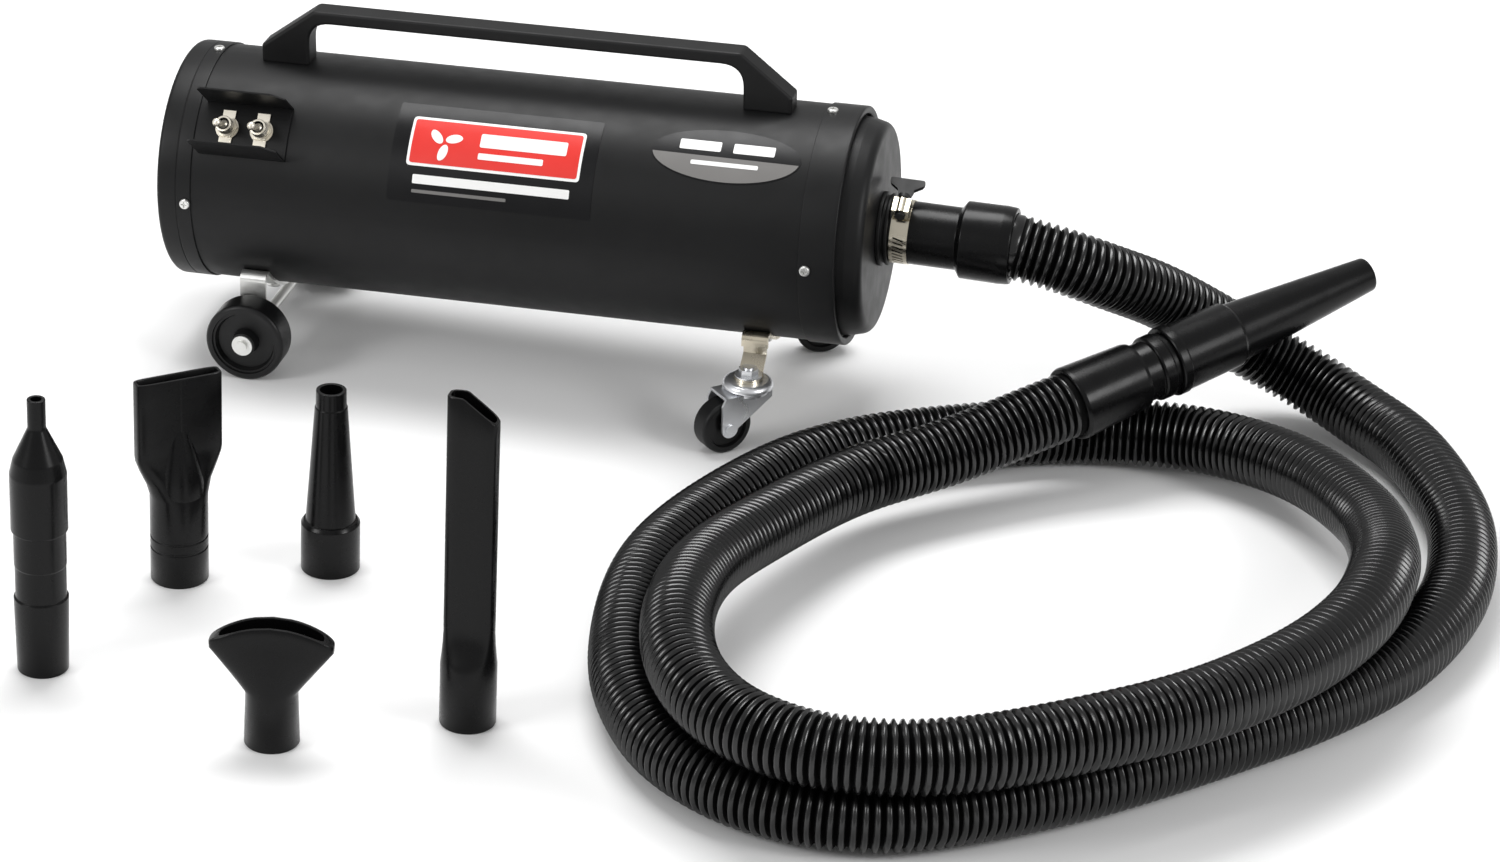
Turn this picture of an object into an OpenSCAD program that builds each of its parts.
// Twin-motor car dryer blower on wheels, with its hose, nozzle and five loose attachments.
// Millimetres. +X runs from the intake end to the outlet, -Y is the side with the switches,
// +Z is up and the floor is z = 0, with the origin under the middle of the body.

/* [Body] */
// Outer diameter of the steel body tube
body_d = 171.4; // [165:0.1:180]
// Length from the rear rim to the flat front face
body_len = 520; // [500:1:560]
// Nose-up pitch of the body on its wheels, in degrees
tilt = 1.9; // [0:0.1:3]
// Height of the body's axis at the rear rim
axis_h = 129.2; // [126:0.1:134]

/* [Handle] */
// Height of the top of the grip above the body's axis
grip_top = 127.5; // [120:0.5:135]
// Width of the handle
grip_w = 20; // [16:1:26]

/* [Wheels] */
// Diameter of the rear wheels
wheel_d = 59; // [50:1:60]
// Width of the rear wheels
wheel_w = 23; // [16:1:24]
// Diameter of the swivel casters' wheels
caster_d = 40; // [36:1:40]
// Heading of the near caster's fork, in degrees from +X
near_heading = 224; // [0:1:359]
// Heading of the far caster's fork, in degrees from +X
far_heading = 25; // [0:1:359]

/* [Hose and nozzle] */
// Outer diameter of the hose
hose_d = 48; // [44:0.5:48]
// Diameter of the cone nozzle's mouth
nozzle_tip_d = 25; // [18:1:30]

/* [Switches] */
// Angle of the switch panel above the horizontal, in degrees
switch_phi = 39; // [34:1:44]

/* [Hidden] */
$fn = 72;

eps = 0.01;
run_gap = 0.05;                     // radial clearance of a running fit
seat_gap = 0.08;                    // between the tube and what is clamped on it
mid_x = body_len / 2;               // the origin is this far ahead of the rear rim
r_body = body_d / 2;
wall = 1.5;
r_skirt = r_body + 1;               // outside of the cap skirts
skirt = 26;                         // length of a cap skirt
screw_s = [22, body_len - 38];      // stations of the two rings of cap screws
switch_s = [50, 76];                // stations of the two switches
rear_run = 70;                      // rear axle, ahead of the rear rim
front_run = 444;                    // caster stems, ahead of the rear rim
r_wheel = wheel_d / 2;
wheel_y = 86;                       // middle of a rear wheel
caster_y = 81;                      // caster stem, out from the middle plane
r_caster = caster_d / 2;
caster_w = 16;
trail = 20;                         // caster axle behind its swivel axis
tab_top = 54.5;                     // top of the caster tabs
strap_w = 19.5;
strap_t = 2.5;
r_axle = 4;
outlet_x = body_len * cos(tilt) - mid_x;
outlet_z = axis_h + body_len * sin(tilt);
r_cuff_tube = 22.75;
clamp_x = [9.5, 22.5];              // clamp band, along the outlet
cuff_len = 97;                      // blower cuff, from the face of the front cap
motor_s = [120, 288];               // front faces of the two fan cases
motor_len = 138;

// Nozzle axis: the hose's far end, and the direction that the nozzle points in
nozzle_end = [415, -74, 64];
nozzle_az = 43;
nozzle_el = 11.7;
cuff_tool_len = 57;

// Places of the loose attachments on the floor
pin_at = [-178, -535];
slot_at = [-135, -393];
cone_at = [-43, -349];
crevice_at = [103, -518];
fan_at = [-8, -579];

// Route of the hose's centreline: two loops on the floor, the second on top of the first
hose_route = [[outlet_x + cuff_len, 0, outlet_z], [392, 3, 139], [424, 15, 126], [458, 41, 105],
    [494, 64, 79], [531, 77, 55], [572, 76, 37], [613, 54, 26], [655, 8, 24.5], [692, -75, 24.5],
    [704, -145, 24.5], [701, -216, 24.5], [678, -294, 24.5], [640, -360, 24.5], [588, -424, 24.5],
    [506, -510, 24.5], [428, -570, 24.5], [375, -594, 24.5], [318, -594, 24.5], [268, -573, 24.5],
    [224, -530, 24.5], [188, -450, 24.5], [174, -320, 24.5], [211, -200, 24.5], [267, -118, 24.5],
    [362, -58, 24.5], [435, -28, 24.5], [510, -27, 28], [582, -68, 36], [632, -140, 46],
    [652, -212, 60], [657, -272, 71], [650, -332, 73.5], [627, -392, 73], [590, -451, 73],
    [545, -502, 73], [474, -560, 73], [424, -591, 73], [378, -606, 73.5], [330, -605, 73.5],
    [284, -583, 73.8], [248, -538, 75], [228, -474, 75], [224, -385, 63], [244, -295, 50],
    [284, -200, 43], [345, -136, 47], nozzle_end];

// ---------------------------------------------------------------- frames and helpers

// The body's own frame: x from the rear rim, along the axis
module on_body() {
    translate([-mid_x, 0, axis_h]) rotate([0, -tilt, 0]) children();
}

// Station s and angle phi on the tube: z points straight out, phi is 0 at -Y and 90 on top
module at_phi(s, phi) {
    translate([s, 0, 0]) rotate([90 - phi, 0, 0]) children();
}

// The outlet's frame: x along the level axis of the cuff
module on_outlet() {
    translate([outlet_x, 0, outlet_z]) children();
}

// The nozzle's frame: x along the nozzle from the end of the hose
module on_nozzle() {
    translate(nozzle_end) rotate([0, 0, nozzle_az]) rotate([0, -nozzle_el, 0]) children();
}

// Caster frame: swivel axis at the origin, fork trailing along +x
module on_caster(side, heading) {
    translate([front_run - mid_x, side * caster_y, 0]) rotate([0, 0, heading]) children();
}

// Cylinder along x
module rod(x0, x1, r) {
    translate([x0, 0, 0]) rotate([0, 90, 0]) cylinder(h = x1 - x0, r = r);
}

// Cylinder along y, from y0 to y1
module cross_rod(y0, y1, r) {
    translate([0, y0, 0]) rotate([-90, 0, 0]) cylinder(h = y1 - y0, r = r);
}

// Pipe along x
module pipe(x0, x1, ro, ri) {
    difference() {
        rod(x0, x1, ro);
        rod(x0 - 1, x1 + 1, ri);
    }
}

// Solid of revolution about x from points [radius, station]
module spin(points) {
    rotate([0, 90, 0]) rotate_extrude() polygon(points);
}

// Solid of revolution about z from points [radius, height]
module turn(points) {
    rotate_extrude() polygon(points);
}

// Curved sheet on the tube, from angle phi0 to phi1, between stations s and radii r
module sector(phi0, phi1, s, r) {
    rotate([270 - phi1, 0, 0]) rotate([0, 90, 0]) rotate_extrude(angle = phi1 - phi0)
        translate([r[0], s[0]]) square([r[1] - r[0], s[1] - s[0]]);
}

// Points of an arc about c, from angle a0 to a1
function arc(c, r, a0, a1, n = 12) =
    [for (i = [0 : n]) let (a = a0 + (a1 - a0) * i / n) [c[0] + r * cos(a), c[1] + r * sin(a)]];

// Height of the body's frame point (s, z) for a point (x, z) of the room
function to_body(x, z) = [(x + mid_x) * cos(tilt) + (z - axis_h) * sin(tilt),
    -(x + mid_x) * sin(tilt) + (z - axis_h) * cos(tilt)];

// ---------------------------------------------------------------- shell

module screw_holes() {
    for (s = screw_s, a = [0 : 90 : 270])
        at_phi(s, a) cylinder(h = r_body + 6, r = 2.1);
}

module body_tube() {
    color("#1b1b1c") on_body() difference() {
        rod(8.2, body_len - 25, r_body);
        rod(0, body_len, r_body - wall);
        screw_holes();
        for (s = switch_s) at_phi(s, switch_phi) cylinder(h = r_body + 6, r = 6.2);
        for (s = handle_screw_s) at_phi(s, 90) cylinder(h = r_body + 6, r = 3.2);
        bracket_bolt_holes();
    }
}

module rear_cap() {
    color("#1b1b1c") on_body() difference() {
        spin(concat([[r_body, skirt], [r_body, 8], [52, 8], [52, 6.5], [r_skirt - 8, 6.5]],
            [[r_skirt - 8, 4]], arc([r_skirt - 4, 4], 4, 180, 360), [[r_skirt, skirt]]));
        screw_holes();
        for (a = [45 : 90 : 315]) rotate([a, 0, 0]) translate([0, 57, 0]) rod(0, 12, 1.7);
        rotate([-135, 0, 0]) translate([0, 71, 0]) rod(0, 12, 5.5);
    }
}

// Moulded finger guard over the intake: rings joined by spokes
module intake_guard() {
    color("#202021") on_body() difference() {
        union() {
            for (r = [12, 22, 32, 42]) pipe(2.5, 5.5, r + 1.2, r - 1.2);
            pipe(2.5, 6.4, 61, 50);
            rod(2.5, 5.5, 5);
            for (a = [0 : 45 : 315]) rotate([a, 0, 0]) translate([2.8, 4, -1.1]) cube([2.4, 48, 2.2]);
        }
        for (a = [45 : 90 : 315]) rotate([a, 0, 0]) translate([0, 57, 0]) rod(0, 12, 1.7);
    }
}

module intake_filter() {
    color("#3c3c3e") on_body() rod(9, 19.5, r_body - wall - 0.5);
}

// Bushing that the supply lead comes in through
module cord_inlet() {
    color("#151515") on_body() rotate([-135, 0, 0]) translate([0, 71, 0]) difference() {
        union() {
            rod(2, 6.4, 7.4);
            rod(6.4, 8.1, 5.4);
            rod(8.1, 8.9, 6.6);
        }
        rod(0, 12, 3.6);
    }
}

module front_cap() {
    f = body_len;
    color("#1b1b1c") on_body() difference() {
        spin(concat([[r_skirt, f - 43]], arc([r_skirt - 2.7, f - 19.7], 2.7, 0, 180),
            [[r_skirt - 5.4, f - 23], [r_skirt - 6.8, f - 23], [r_skirt - 8, f - 13]],
            arc([69, f - 10], 10, 15, 90), [[22, f], [22, f - 1.5], [69, f - 1.5]],
            arc([69, f - 10], 8.5, 90, 15), [[r_skirt - 9.2, f - 13], [r_skirt - 8.4, f - 24.5]],
            [[r_body, f - 24.5], [r_body, f - 43]]));
        screw_holes();
    }
}

module outlet_neck() {
    color("#121212") difference() {
        union() {
            on_body() translate([body_len, 0, 0]) {
                rod(0, 3, 27);
                rod(2.9, 5.6, 24.5);
                rod(5.5, 8.2, 26);
            }
            on_body() rod(body_len - 6, body_len + 2, 21.8);
            on_outlet() rod(0, 30, 21.2);
        }
        on_outlet() rod(-10, 40, 18.7);
    }
}

module cap_screws() {
    color("#c9ccce") on_body() for (s = screw_s, a = [0 : 90 : 270]) at_phi(s, a) {
        translate([0, 0, r_skirt + 0.05]) pan_head(3.9, 2.3);
        translate([0, 0, r_body - 8]) cylinder(h = r_skirt - r_body + 8.1, r = 2);
    }
}

// Domed head with a cross recess
module pan_head(r, h) {
    difference() {
        turn(concat([[0, 0], [r, 0], [r, h * 0.45]], arc([r - h * 0.55, h * 0.45], h * 0.55, 0, 90),
            [[0, h]]));
        for (a = [0, 90]) rotate([0, 0, a]) translate([-r * 0.55, -0.45, h - 1.1]) cube([r * 1.1, 0.9, 2]);
    }
}

// ---------------------------------------------------------------- handle

handle_s = [58, 454];               // outer ends of the two feet
handle_screw_s = [74, 438];
handle_foot = 36;
grip_t = 9.5;
bend_r = 18;

module handle() {
    a = handle_s[0];
    b = handle_s[1];
    base = r_body - 3;
    under = grip_top - grip_t;
    color("#161617") on_body() difference() {
        rotate([90, 0, 0]) linear_extrude(grip_w, center = true) polygon(concat(
            [[a, base], [a, 98], [a + 40, grip_top], [b - 38, grip_top], [b, 97], [b, base]],
            [[b - handle_foot, base]], arc([b - handle_foot - bend_r, under - bend_r], bend_r, 0, 90),
            arc([a + handle_foot + bend_r, under - bend_r], bend_r, 90, 180),
            [[a + handle_foot, base]]));
        rod(a - 5, b + 5, r_body + 0.02);
        for (s = handle_screw_s) translate([s, 0, 0]) cylinder(h = r_body + 12, r = 2.6);
    }
}

module handle_screws() {
    color("#9a9da0") on_body() for (s = handle_screw_s) translate([s, 0, 0]) {
        translate([0, 0, r_body - 4]) cylinder(h = 15, r = 2.5);
        translate([0, 0, r_body - wall - 5]) cylinder(h = 3.2, r = 4.2);
        translate([0, 0, r_body - wall - 1.8]) cylinder(h = 1.2, r = 8);
        translate([0, 0, r_body - wall - 3]) cylinder(h = 4, r = 2.5);
    }
}

// ---------------------------------------------------------------- switches and labels

guard_s = [31, 96];
guard_half = 19;                    // half the width between the guard's two flanges
guard_rise = 33;
guard_t = 1.2;

module switch_guard() {
    s0 = guard_s[0];
    s1 = guard_s[1];
    inner = r_body + seat_gap;
    outer = guard_half + guard_t;
    foot = sqrt(pow(inner, 2) - pow(guard_half, 2));
    top = foot + guard_rise;
    dip = asin(outer / inner);
    seat = asin(guard_half / switch_seat);
    color("#19191a") on_body() at_phi(0, switch_phi) difference() {
        intersection() {
            translate([s0 - 1, 0, 0]) rotate([90, 0, 90]) linear_extrude(s1 - s0 + 2)
                polygon(concat(arc([0, 0], inner, 90 + dip, 90 - dip),
                    [[outer, top + 1], [guard_half, top + 1]],
                    arc([0, 0], switch_seat, 90 - seat, 90 + seat),
                    [[-guard_half, top + 1], [-outer, top + 1]]));
            rotate([90, 0, 0]) linear_extrude(60, center = true) polygon([[s0, foot - 5],
                [s1, foot - 5], [s1, top - 9], [s1 - 9, top], [s0 + 3, top], [s0, top - 3]]);
        }
        for (s = switch_s) translate([s, 0, 0]) cylinder(h = 100, r = 6.2);
    }
}

module at_switch(i) {
    on_body() at_phi(switch_s[i], switch_phi) children();
}

switch_seat = r_body + 0.05 + 1.2;  // outside of the guard's floor
lever_pivot = switch_seat + 8;

module switch_cases() {
    color("#26262a") for (i = [0, 1]) at_switch(i) difference() {
        union() {
            translate([-8, -14, r_body - wall - 24]) cube([16, 28, 20]);
            translate([0, 0, r_body - wall - 5]) cylinder(h = 5 + 13.5, r = 6);
            for (y = [-9, 0, 9]) translate([-2.4, y - 0.4, r_body - wall - 32]) cube([4.8, 0.8, 9]);
        }
        translate([0, 0, lever_pivot - 5]) cylinder(h = 20, r = 4.4);
    }
}

module switch_nuts() {
    color("#cfc9ba") for (i = [0, 1]) at_switch(i) translate([0, 0, switch_seat + 0.9]) difference() {
        union() {
            cylinder(h = 2.4, r = 8.4, $fn = 6);
            translate([0, 0, 2.4]) cylinder(h = 1.2, r = 7);
        }
        translate([0, 0, -1]) cylinder(h = 6, r = 6.02);
    }
}

module switch_tags() {
    color("#d8d4c8") for (i = [0, 1]) at_switch(i) translate([0, 0, switch_seat + 0.1]) difference() {
        union() {
            cylinder(h = 0.75, r = 8.6);
            translate([-4.7, -13, 0]) cube([9.4, 26, 0.75]);
        }
        translate([0, 0, -1]) cylinder(h = 4, r = 6.05);
    }
}

lever_rest = 12;                    // lean of a lever at rest, towards the lower flange

module toggle(i) {
    color("#d8d8d6") at_switch(i) translate([0, 0, lever_pivot]) rotate([lever_rest, 0, 0]) {
        sphere(r = 3.6);
        translate([0, 0, 2]) cylinder(h = 15, r1 = 1.8, r2 = 2.3);
        translate([0, 0, 17.6]) sphere(r = 3.1);
    }
}

module lever_1() { toggle(0); }

module lever_2() { toggle(1); }

module label_main() {
    color("#101012") on_body() sector(13, 63, [174, 324.5], [r_body + 0.02, r_body + 0.24]);
}

module label_oval() {
    color("#55565a") on_body() intersection() {
        pipe(355, 478, r_body + 0.24, r_body + 0.02);
        at_phi(416.5, 51.5) translate([0, 0, 60]) linear_extrude(40)
            polygon([for (a = [0 : 6 : 354]) [54.4 * cos(a), 21.5 * sin(a)]]);
    }
}

// ---------------------------------------------------------------- wheels and casters

module bracket_bolt_holes() {
    for (s = [rear_s, front_s], y = [-1, 1]) translate([s, 0, 0]) rotate([y * 17, 0, 0])
        translate([0, 0, -r_body - 8]) cylinder(h = 12, r = 2.65);
}

rear_s = to_body(rear_run - mid_x, r_wheel)[0];
rear_drop = to_body(rear_run - mid_x, r_wheel)[1];
front_s = to_body(front_run - mid_x, tab_top)[0];

// Strap hugging the underside of the tube, its ends rolled over outwards
function roll_at(half_angle, roll_r) =
    (r_body + seat_gap + strap_t / 2 + roll_r) * [sin(half_angle), -cos(half_angle)];
// Strap under the tube, rolled over at both ends into legs that stop at height drop
module cradle(s, half_angle, roll_r, drop) {
    c = roll_at(half_angle, roll_r);
    h = strap_t / 2;
    rc = r_body + seat_gap + h;
    near = concat(arc([0, 0], rc - h, -89, half_angle - 90, 20), arc(c, roll_r + h, 88 + half_angle, 0),
        [[c[0] + roll_r + h, drop]]);
    far = concat(arc([0, 0], rc + h, -89, half_angle - 90, 20), arc(c, roll_r - h, 88 + half_angle, 0),
        [[c[0] + roll_r - h, drop]]);
    n = len(near) - 1;
    translate([s - strap_w / 2, 0, 0]) rotate([90, 0, 90]) linear_extrude(strap_w)
        polygon(concat([for (i = [n : -1 : 0]) [-near[i][0], near[i][1]]], near,
            [for (i = [n : -1 : 0]) far[i]], [for (p = far) [-p[0], p[1]]]));
}

rear_half = 46.5;
rear_roll = 5;
front_half = 38;
front_roll = 4.5;

module rear_bracket() {
    y = roll_at(rear_half, rear_roll)[0] + rear_roll;
    boss = strap_t / 2 + 0.2;
    color("#b9bab4") on_body() difference() {
        union() {
            cradle(rear_s, rear_half, rear_roll, rear_drop);
            for (side = [-1, 1]) translate([rear_s, side * y, rear_drop])
                cross_rod(-boss, boss, strap_w / 2 + 0.4);
        }
        translate([rear_s, 0, rear_drop]) cross_rod(-90, 90, r_axle + 0.02);
        bracket_bolt_holes();
    }
}

module at_rear_axle() {
    translate([rear_run - mid_x, 0, r_wheel]) children();
}

axle_end = wheel_y + wheel_w / 2 + 6.5;

module rear_axle() {
    color("#a9aaa5") at_rear_axle() cross_rod(-axle_end, axle_end, r_axle);
}

module axle_washers() {
    color("#c4c6c4") at_rear_axle() for (side = [-1, 1]) translate([0, side * (axle_end - 2.9), 0])
        difference() {
            cross_rod(-0.6, 0.6, 7.7);
            cross_rod(-2, 2, r_axle);
        }
}

// Dished wheel turning about y, its face on the side given
module rear_wheel(side) {
    w = wheel_w / 2;
    hub = axle_end - wheel_y - 3.8;
    translate([0, side * wheel_y, 0]) rotate([side * -90, 0, 0]) difference() {
        turn(concat([[r_axle + run_gap, -w], [r_wheel - 2, -w]], arc([r_wheel - 2, -w + 2], 2, -90, 0, 3),
            arc([r_wheel - 3, w - 3], 3, 0, 90, 4), [[r_wheel - 5, w], [r_wheel - 5.5, w - 1.6],
            [r_wheel - 7, w - 1.6], [r_wheel - 8.5, w - 5.5], [10, w - 5.5], [9, hub],
            [r_axle + run_gap, hub]]));
    }
}

module rear_wheel_near() {
    color("#19191a") at_rear_axle() rear_wheel(-1);
}

module rear_wheel_far() {
    color("#19191a") at_rear_axle() rear_wheel(1);
}

module front_bracket() {
    c = roll_at(front_half, front_roll);
    y = c[0] + front_roll;
    x0 = front_run - mid_x;
    leg_top = axis_h + front_run * tan(tilt) + c[1];
    h = strap_t / 2 - 0.2;
    w = strap_w - 2.4;
    color("#c2bda8") difference() {
        union() {
            on_body() cradle(front_s, front_half, front_roll, c[1] - 4);
            for (side = [-1, 1]) {
                translate([x0 + w / 2, 0, 0]) rotate([90, 0, -90]) linear_extrude(w)
                    polygon([for (p = [[y + h, leg_top - 1.5], [y + h, tab_top + 8.6],
                        [y + h + 10, tab_top - 0.1], [caster_y, tab_top - 0.1],
                        [caster_y, tab_top - strap_t + 0.1], [y + 9, tab_top - strap_t + 0.1],
                        [y - h, tab_top + 7.4], [y - h, leg_top - 1.5]]) [side * -p[0], p[1]]]);
                translate([x0, side * caster_y, tab_top - strap_t]) cylinder(h = strap_t, r = 10.5);
            }
        }
        for (side = [-1, 1]) translate([x0, side * caster_y, 40]) cylinder(h = 30, r = r_axle + 0.1);
        on_body() bracket_bolt_holes();
    }
}

module bracket_bolts() {
    color("#a4a6a6") on_body() for (s = [rear_s, front_s], y = [-1, 1]) translate([s, 0, 0])
        rotate([y * 17, 0, 0]) translate([0, 0, -r_body]) rotate([180, 0, 0]) {
            translate([0, 0, strap_t + 0.1]) pan_head(4.8, 2.8);
            translate([0, 0, -8]) cylinder(h = strap_t + 8.2, r = 2.5);
            translate([0, 0, -wall - 4.2]) cylinder(h = 4, r = 4.6, $fn = 6);
        }
}

race_low = 45.4;                    // underside of the fixed race
plate_top = race_low - 0.3;
plate_low = plate_top - 2.2;

// Threaded stem, nut, washer and fixed race of each caster
module caster_stems() {
    color("#c9ccd0") for (side = [-1, 1]) on_caster(side, 0) {
        translate([0, 0, plate_low - 2]) cylinder(h = tab_top + 9 - plate_low, r = r_axle);
        translate([0, 0, plate_low - 2.1]) cylinder(h = 1.8, r = 6);
        turn(concat([[0, race_low], [16, race_low], [18.5, race_low + 1.6]],
            arc([14, race_low + 2], 4.5, 0, 90), [[0, race_low + 6.5]]));
        translate([0, 0, tab_top + 0.05]) cylinder(h = 1.2, r = 10);
        translate([0, 0, tab_top + 1.25]) cylinder(h = 4.6, r = 7.3, $fn = 6);
    }
}

module caster_fork(side, heading) {
    cheek = caster_w / 2 + 1.3;
    color("#cdd0d4") on_caster(side, heading) difference() {
        union() {
            translate([-14, -cheek - 2, plate_low]) cube([38, 2 * cheek + 4, plate_top - plate_low]);
            translate([0, 0, plate_low]) cylinder(h = plate_top - plate_low, r = 15);
            for (s = [-1, 1]) translate([0, s * (cheek + 1), 0]) rotate([90, 0, 0]) {
                linear_extrude(2, center = true) polygon([[-14, plate_top], [24, plate_top],
                    [27, plate_top - 6], [trail + 6.4, r_caster], [trail - 6.4, r_caster],
                    [-14, plate_low - 3]]);
                translate([trail, r_caster, -1]) cylinder(h = 2, r = 6.4);
            }
        }
        cylinder(h = 80, r = r_axle + run_gap);
        translate([trail, 0, r_caster]) cross_rod(-20, 20, 2.55);
        translate([0, 0, plate_low - 4]) cylinder(h = 4, r = 7);
    }
}

module caster_fork_near() { caster_fork(-1, near_heading); }

module caster_fork_far() { caster_fork(1, far_heading); }

module caster_wheel(side, heading) {
    w = caster_w / 2;
    color("#1a1a1b") on_caster(side, heading) translate([trail, 0, r_caster]) rotate([-90, 0, 0])
        turn(concat([[2.5 + run_gap, -w - 0.6], [5, -w - 0.6], [5.4, -w + 2.5], [r_caster - 5.5, -w + 2.5],
            [r_caster - 4.8, -w], [r_caster - 2.5, -w]], arc([r_caster - 2.5, -w + 2.5], 2.5, -90, 0, 4),
            arc([r_caster - 2.5, w - 2.5], 2.5, 0, 90, 4), [[r_caster - 4.8, w], [r_caster - 5.5, w - 2.5],
            [5.4, w - 2.5], [5, w + 0.6], [2.5 + run_gap, w + 0.6]]));
}

module caster_wheel_near() { caster_wheel(-1, near_heading); }

module caster_wheel_far() { caster_wheel(1, far_heading); }

module caster_rivet(side, heading) {
    e = caster_w / 2 + 3.4;
    color("#d4d6d8") on_caster(side, heading) translate([trail, 0, r_caster]) {
        cross_rod(-e - 1.4, e + 1.4, 2.5);
        for (s = [-1, 1]) translate([0, s * (e + 0.8), 0]) cross_rod(-0.75, 0.75, 4);
    }
}

module caster_rivet_near() { caster_rivet(-1, near_heading); }

module caster_rivet_far() { caster_rivet(1, far_heading); }

// ---------------------------------------------------------------- outlet, clamp, hose

band_r = r_cuff_tube + 0.8;
clamp_phi = 60;
worm_r = 29;                        // worm screw, out from the outlet's axis
clamp_mid = (clamp_x[0] + clamp_x[1]) / 2;

module clamp_band() {
    color("#b6b3a6") on_outlet() difference() {
        pipe(clamp_x[0], clamp_x[1], band_r, r_cuff_tube + 0.02);
        for (a = [-56 : 8 : 8]) rotate([-a, 0, 0]) translate([clamp_mid, -band_r, 0])
            rotate([0, 14, 0]) cube([8, 4, 1.3], center = true);
    }
}

// The worm's frame: z along the worm, x along the outlet, y towards the outlet's axis
module on_worm() {
    on_outlet() rotate([-clamp_phi, 0, 0]) translate([clamp_mid, -worm_r, 0]) children();
}

module clamp_housing() {
    color("#c4bfae") on_worm() difference() {
        union() {
            translate([-6.2, -4.6, -7]) cube([12.4, 9.4, 12]);
            translate([0, 0, -7]) cylinder(h = 12, r = 5.4);
        }
        translate([0, 0, -20]) cylinder(h = 40, r = 3.8 + run_gap);
        translate([-clamp_mid, worm_r, 0]) rod(0, 40, band_r + 0.02);
    }
}

// Worm screw with its T-shaped thumb key
module clamp_key() {
    color("#2a2a2b") on_worm() {
        translate([0, 0, -9]) cylinder(h = 16, r = 3.8);
        translate([0, 0, 6.9]) cylinder(h = 3, r = 4.6);
        rotate([90, 0, 0]) linear_extrude(3.2, center = true) polygon([[-4.5, 9], [4.5, 9], [6, 15],
            [11.5, 19], [12.5, 21], [12.5, 23.6], [11.5, 24.5], [-11.5, 24.5], [-12.5, 23.6],
            [-12.5, 21], [-11.5, 19], [-6, 15]]);
    }
}

module cuff_blower() {
    color("#131314") on_outlet() difference() {
        spin([[r_cuff_tube, 9], [r_cuff_tube, 57], [28, 60], [28.2, cuff_len - 1],
            [27.4, cuff_len], [21.25, cuff_len], [21.25, 9]]);
        rod(-10, 30.5, 21.25);
    }
}

// Catmull-Rom point on the stretch from p1 to p2
function spline(p0, p1, p2, p3, t) = 0.5 * (2 * p1 + (p2 - p0) * t
    + (2 * p0 - 5 * p1 + 4 * p2 - p3) * t * t + (3 * p1 - p0 - 3 * p2 + p3) * t * t * t);

function unit(v) = v / norm(v);

// One ring of points about p, square to the direction d
function ring(p, d, r, n) = let (u = unit(cross([0, 0, 1], d)), v = cross(d, u))
    [for (i = [0 : n - 1]) p + r * (cos(i * 360 / n) * u + sin(i * 360 / n) * v)];

// Closed tube of radius r swept along the points, its end rings square to the given directions
module swept_tube(points, r, sides, first_dir, last_dir) {
    n = len(points);
    dirs = [for (i = [0 : n - 1]) i == 0 ? first_dir : i == n - 1 ? last_dir
        : unit(points[i + 1] - points[i - 1])];
    verts = [for (i = [0 : n - 1]) each ring(points[i], dirs[i], r, sides)];
    caps = [[for (i = [0 : sides - 1]) i], [for (i = [sides - 1 : -1 : 0]) (n - 1) * sides + i]];
    side_faces = [for (i = [0 : n - 2], j = [0 : sides - 1]) let (k = (j + 1) % sides)
        [i * sides + j, (i + 1) * sides + j, (i + 1) * sides + k, i * sides + k]];
    polyhedron(verts, concat(caps, side_faces), convexity = 6);
}

hose_pass = concat([2 * hose_route[0] - hose_route[1]], hose_route,
    [2 * hose_route[len(hose_route) - 1] - hose_route[len(hose_route) - 2]]);

// A ring at every route point and, on the longer stretches, one between
hose_points = concat([for (i = [0 : len(hose_route) - 2])
    let (steps = norm(hose_route[i + 1] - hose_route[i]) > 62 ? 2 : 1)
    each [for (k = [0 : steps - 1])
        spline(hose_pass[i], hose_pass[i + 1], hose_pass[i + 2], hose_pass[i + 3], k / steps)]],
    [hose_route[len(hose_route) - 1]]);

nozzle_dir = [cos(nozzle_el) * cos(nozzle_az), cos(nozzle_el) * sin(nozzle_az), sin(nozzle_el)];

module hose() {
    color("#0f0f10") swept_tube(hose_points, hose_d / 2, 10, [1, 0, 0], nozzle_dir);
}

module cuff_tool() {
    color("#131314") on_nozzle() difference() {
        spin([[0, 0], [26, 0], [27, 1], [24.7, cuff_tool_len - 1], [24, cuff_tool_len], [0, cuff_tool_len]]);
        rod(12, cuff_tool_len + 1, 19.5);
    }
}

collar_x = cuff_tool_len;           // front end of the cuff, where the collar starts
cone_x = collar_x + 26;             // back end of the cone nozzle

module nozzle_collar() {
    color("#151516") on_nozzle() difference() {
        union() {
            rod(collar_x - 30, collar_x + 13, 19.45);
            rod(collar_x, collar_x + 13, 21.5);
            spin([[0, collar_x + 12], [23, collar_x + 12], [24, collar_x + 13], [24, collar_x + 21],
                [23, collar_x + 22], [0, collar_x + 22]]);
            rod(collar_x + 21, collar_x + 25.6, 22.6);
            rod(collar_x + 21, collar_x + 56, 20.5);
        }
        rod(collar_x - 40, collar_x + 70, 16.5);
    }
}

module cone_nozzle() {
    tip = nozzle_tip_d / 2;
    color("#131314") on_nozzle() translate([cone_x, 0, 0]) difference() {
        spin([[0, 0], [25, 0], [25.8, 1], [25.8, 7], [25, 8], [24, 56], [22.6, 57.5], [21.9, 58],
            [tip + 0.3, 176], [tip + 0.2, 178], [0, 178]]);
        rod(-1, 34, 20.55);
        spin([[0, 33.9], [20.55, 33.9], [19, 38], [19, 60], [tip - 2, 178.1], [0, 178.1]]);
    }
}

// ---------------------------------------------------------------- inside the body

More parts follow.
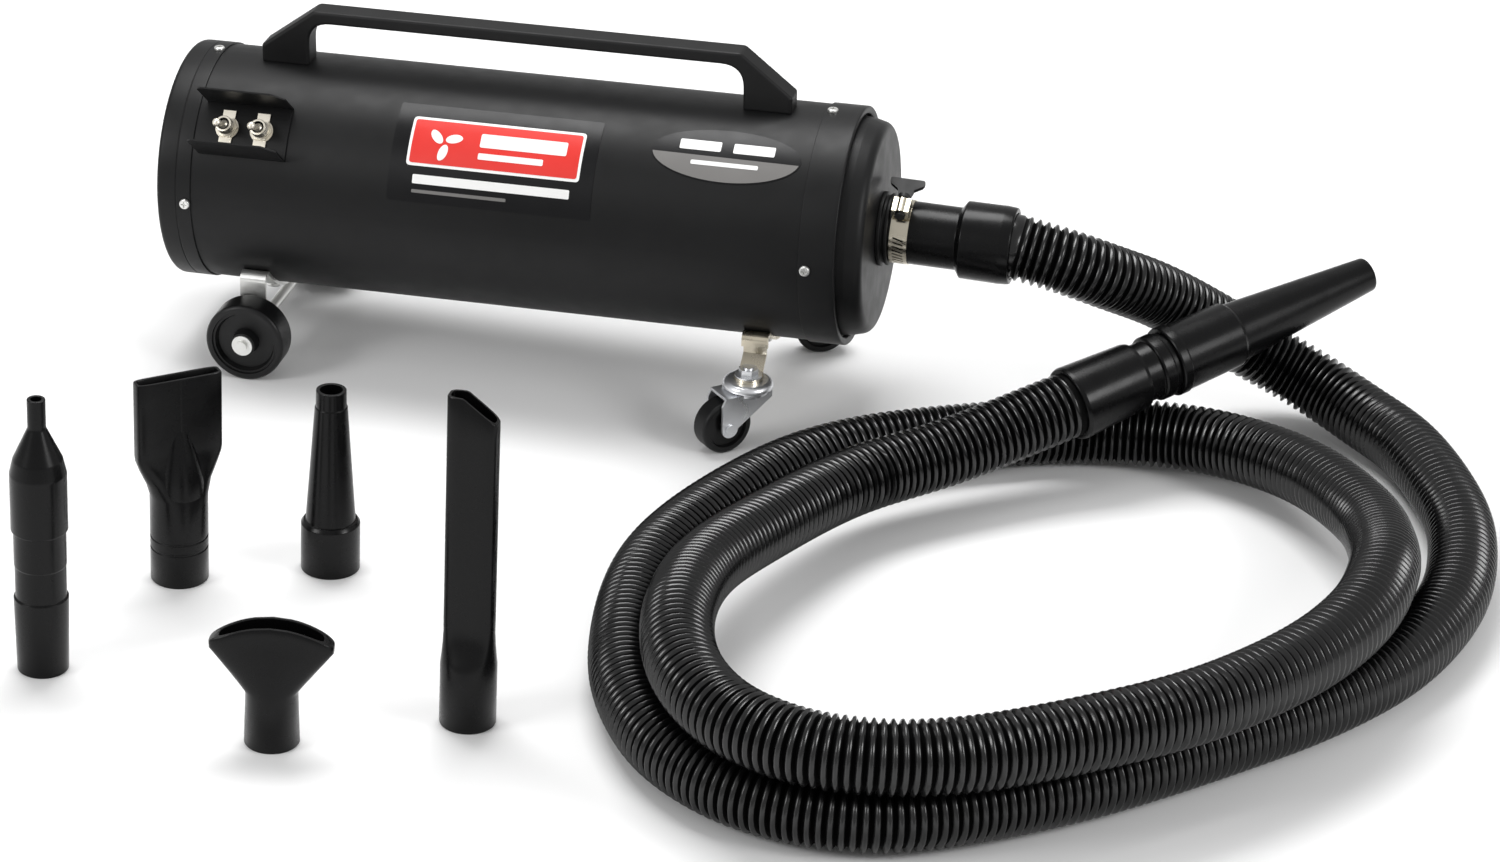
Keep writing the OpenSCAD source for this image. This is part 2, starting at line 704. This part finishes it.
module bulkheads() {
    color("#8d9092") on_body() for (s = motor_s) difference() {
        pipe(s - 5, s - 3, r_body - wall - 0.1, 40);
        for (a = [0 : 120 : 240]) rotate([a, 0, 0]) translate([0, 66, 0]) rod(s - 10, s + 5, 2.2);
        rotate([-135, 0, 0]) translate([0, 77, 3]) rod(s - 10, s + 5, 6.5);
    }
}

module motor_gaskets() {
    color("#1c1c1c") on_body() for (s = motor_s) pipe(s - 3, s, 71, 58);
}

// Pressed fan case with the fixed plate between its two fans
module fan_case(i) {
    s = motor_s[i];
    color("#a7aaac") on_body() difference() {
        rod(s, s + 62, 72);
        difference() {
            rod(s + 1.5, s + 60.5, 70.5);
            pipe(s + 29, s + 31, 71, 26);
        }
        rod(s - 1, s + 2, 26);
        rod(s + 60, s + 63, 9);
        for (a = [0 : 45 : 315]) rotate([a, 0, 0]) translate([s + 61, 53, 0]) rod(-2, 2, 11);
    }
}

module fan_case_1() { fan_case(0); }

module fan_case_2() { fan_case(1); }

// Wound stator
module stator(i) {
    s = motor_s[i] + 76;
    color("#a86b3a") on_body() difference() {
        union() {
            rod(s, s + 34, 41);
            rod(s - 6, s + 36, 34);
        }
        rod(s - 10, s + 50, 22.6);
    }
}

module stator_1() { stator(0); }

module stator_2() { stator(1); }

// Open frame that carries the stator and the shaft's bearings
module end_bracket(i) {
    s = motor_s[i];
    color("#9da1a4") on_body() difference() {
        union() {
            pipe(s + 62, s + 66, 44, 11);
            for (a = [45 : 90 : 315]) rotate([a, 0, 0]) translate([s + 65, 41.2, -4]) cube([66, 2.8, 8]);
            pipe(s + 66, s + 68, 13, 11);
            for (a = [45, 135]) rotate([a, 0, 0]) translate([s + 128, -44, -4]) cube([3, 88, 8]);
            rod(s + 124, s + 132, 13);
        }
        rod(s + 60, s + 140, 11);
    }
}

module end_bracket_1() { end_bracket(0); }

module end_bracket_2() { end_bracket(1); }

module bearings() {
    color("#d0d3d5") on_body() for (s = motor_s, d = [62, 124.5])
        pipe(s + d, s + d + 6, 11, r_axle + 0.03);
}

module brush_holders() {
    color("#c08a3c") on_body() for (s = motor_s, side = [-1, 1])
        translate([s + 118, side * 12.6, 0]) {
            translate([-3, side > 0 ? 0 : -8, -4]) cube([6, 8, 8]);
            translate([-5, side > 0 ? 7 : -37, -6]) cube([10, 30, 12]);
        }
}

// Shaft, armature core and commutator
module rotor(i) {
    s = motor_s[i];
    color("#7a6a58") on_body() {
        rod(s + 8, s + motor_len, r_axle);
        rod(s + 78, s + 108, 22.1);
        rod(s + 72, s + 113, 16);
        rod(s + 113, s + 123, 12.2);
    }
}

module rotor_1() { rotor(0); }

module rotor_2() { rotor(1); }

// Two stacked fans, each two discs with curved blades between them
module fan(i) {
    s = motor_s[i];
    color("#bfc3c6") on_body() for (d = [6, 37]) difference() {
        union() {
            pipe(s + d, s + d + 1.2, 68, 24);
            rod(s + d + 16, s + d + 17.2, 68);
            rod(s + d + 6, s + d + 17, 9);
            for (a = [0 : 60 : 300]) rotate([a, 0, 0]) translate([s + d + 1, 0, 0]) rotate([0, 90, 0])
                rotate([0, 0, 20]) translate([40, -24, 0]) rotate([0, 0, 25]) rotate_extrude(angle = 68)
                translate([28, 0]) square([1.6, 15.5]);
        }
        rod(s + d - 1, s + d + 20, r_axle);
    }
}

module fan_1() { fan(0); }

module fan_2() { fan(1); }

// Leads from the inlet past the switches to the two motors
module wiring() {
    color("#2f4a8a") on_body() rotate([-135, 0, 0]) translate([0, 77, 0]) {
        rod(24, 395, 2.4);
        translate([0, 0, 6]) rod(24, 228, 2.4);
    }
}

// ---------------------------------------------------------------- loose attachments

module hollow(points, bore) {
    difference() {
        turn(points);
        turn(bore);
    }
}

// Inflator: stepped sleeve, bulb and thin tip
module pin_nozzle() {
    color("#131314") translate([pin_at[0], pin_at[1], 0]) difference() {
        hollow([[0, 0], [16.5, 0], [17.7, 53], [16.5, 54], [16.5, 76], [16.8, 77], [16.8, 101],
            [18.3, 102], [18.3, 145], [16.5, 151], [5.9, 174], [5.9, 194], [0, 194]],
            [[0, -1], [14.3, -1], [14.3, 142], [12, 149], [3.6, 172], [3.6, 195], [0, 195]]);
        rotate([0, 0, 200]) translate([0, 0, 112]) rotate([0, 90, 0]) cylinder(h = 30, r = 3);
        rotate([0, 0, 200]) translate([0, 0, 157]) rotate([0, 90, 0]) cylinder(h = 30, r = 1.6);
    }
}

// Outline of a flat head: half-width w, half-thickness t, ends rounded
module flat_outline(w, t) {
    square([2 * (w - t), 2 * t], center = true);
    for (side = [-1, 1]) translate([side * (w - t), 0]) circle(r = t, $fn = 32);
}

module slot_tool() {
    color("#131314") translate([slot_at[0], slot_at[1], 0]) rotate([0, 0, 41]) difference() {
        union() {
            turn([[0, 0], [19.5, 0], [19.5, 24], [18.9, 25], [19.5, 26], [19.5, 32], [18.9, 33],
                [19.5, 34], [19.5, 66], [0, 66]]);
            hull() {
                translate([0, 0, 65]) cylinder(h = 1, r = 19.5, $fn = 32);
                translate([0, 0, 92]) linear_extrude(2) flat_outline(30, 6.5);
            }
            hull() {
                translate([0, 0, 65]) cylinder(h = 1, r = 16, $fn = 32);
                translate([0, 0, 110]) cylinder(h = 1, r = 6, $fn = 32);
            }
            translate([0, 0, 93]) linear_extrude(57) flat_outline(30, 6);
        }
        translate([0, 0, -1]) cylinder(h = 61, r = 17);
        hull() {
            translate([0, 0, 59]) cylinder(h = 1, r = 15, $fn = 32);
            translate([0, 0, 94]) linear_extrude(1) flat_outline(28, 4);
        }
        translate([0, 0, 94.5]) linear_extrude(60) flat_outline(28, 4);
    }
}

module cone_tool() {
    color("#131314") translate([cone_at[0], cone_at[1], 0]) difference() {
        union() {
            turn([[0, 0], [20, 0], [20, 35.5], [18.5, 37], [16.9, 37.2], [11, 122], [0, 122]]);
            translate([0, 0, 121]) cylinder(h = 13, r = 11.2, $fn = 6);
        }
        turn([[0, -1], [17, -1], [17, 30], [14.6, 38], [7.6, 135], [0, 135]]);
    }
}

module crevice_tool() {
    color("#131314") translate([crevice_at[0], crevice_at[1], 0]) difference() {
        union() {
            turn([[0, 0], [18.3, 0], [18.3, 44], [0, 44]]);
            hull() {
                translate([0, 0, 43]) cylinder(h = 1, r = 18.3, $fn = 32);
                translate([0, 0, 66]) linear_extrude(2) flat_outline(16.5, 7);
            }
            translate([0, 0, 67]) linear_extrude(165) flat_outline(16.5, 7);
        }
        translate([0, 0, -1]) cylinder(h = 41, r = 16);
        hull() {
            translate([0, 0, 39]) cylinder(h = 1, r = 14.5, $fn = 32);
            translate([0, 0, 68]) linear_extrude(1) flat_outline(14.5, 5);
        }
        translate([0, 0, 68.5]) linear_extrude(170) flat_outline(14.5, 5);
        rotate([90, 0, 0]) linear_extrude(60, center = true)
            polygon([[-5.5, 240], [-5.5, 232], [20, 213], [20, 240]]);
    }
}

module fan_tool() {
    color("#131314") translate([fan_at[0], fan_at[1], 0]) rotate([0, 0, 11]) difference() {
        union() {
            turn([[0, 0], [17.7, 0], [16.7, 38], [0, 38]]);
            hull() {
                translate([0, 0, 37]) cylinder(h = 1, r = 16.7, $fn = 32);
                translate([0, 0, 69]) linear_extrude(1) flat_outline(39.5, 9);
            }
            translate([0, 0, 69.9]) linear_extrude(17) flat_outline(39.5, 9);
        }
        translate([0, 0, -1]) cylinder(h = 34, r = 14.6);
        hull() {
            translate([0, 0, 32]) cylinder(h = 1, r = 13, $fn = 32);
            translate([0, 0, 71]) linear_extrude(1) flat_outline(33, 6);
        }
        translate([0, 0, 71.5]) linear_extrude(20) flat_outline(33, 6);
        translate([0, 0, -3]) rotate([90, 0, 0]) difference() {
            translate([-60, 60, -30]) cube([120, 60, 60]);
            translate([0, 26, -31]) cylinder(h = 62, r = 62);
        }
        rotate([0, 0, -90]) translate([0, 0, 14]) rotate([0, 90, 0]) cylinder(h = 30, r = 1.8);
    }
}

// ---------------------------------------------------------------- drawing

body_tube();
rear_cap();
intake_guard();
intake_filter();
cord_inlet();
front_cap();
outlet_neck();
cap_screws();
handle();
handle_screws();
switch_guard();
switch_cases();
switch_nuts();
switch_tags();
lever_1();
lever_2();
label_main();
label_oval();
rear_bracket();
rear_axle();
axle_washers();
rear_wheel_near();
rear_wheel_far();
front_bracket();
bracket_bolts();
caster_stems();
caster_fork_near();
caster_fork_far();
caster_wheel_near();
caster_wheel_far();
caster_rivet_near();
caster_rivet_far();
clamp_band();
clamp_housing();
clamp_key();
cuff_blower();
hose();
cuff_tool();
nozzle_collar();
cone_nozzle();
bulkheads();
motor_gaskets();
fan_case_1();
fan_case_2();
stator_1();
stator_2();
end_bracket_1();
end_bracket_2();
bearings();
brush_holders();
rotor_1();
rotor_2();
fan_1();
fan_2();
wiring();
pin_nozzle();
slot_tool();
cone_tool();
crevice_tool();
fan_tool();
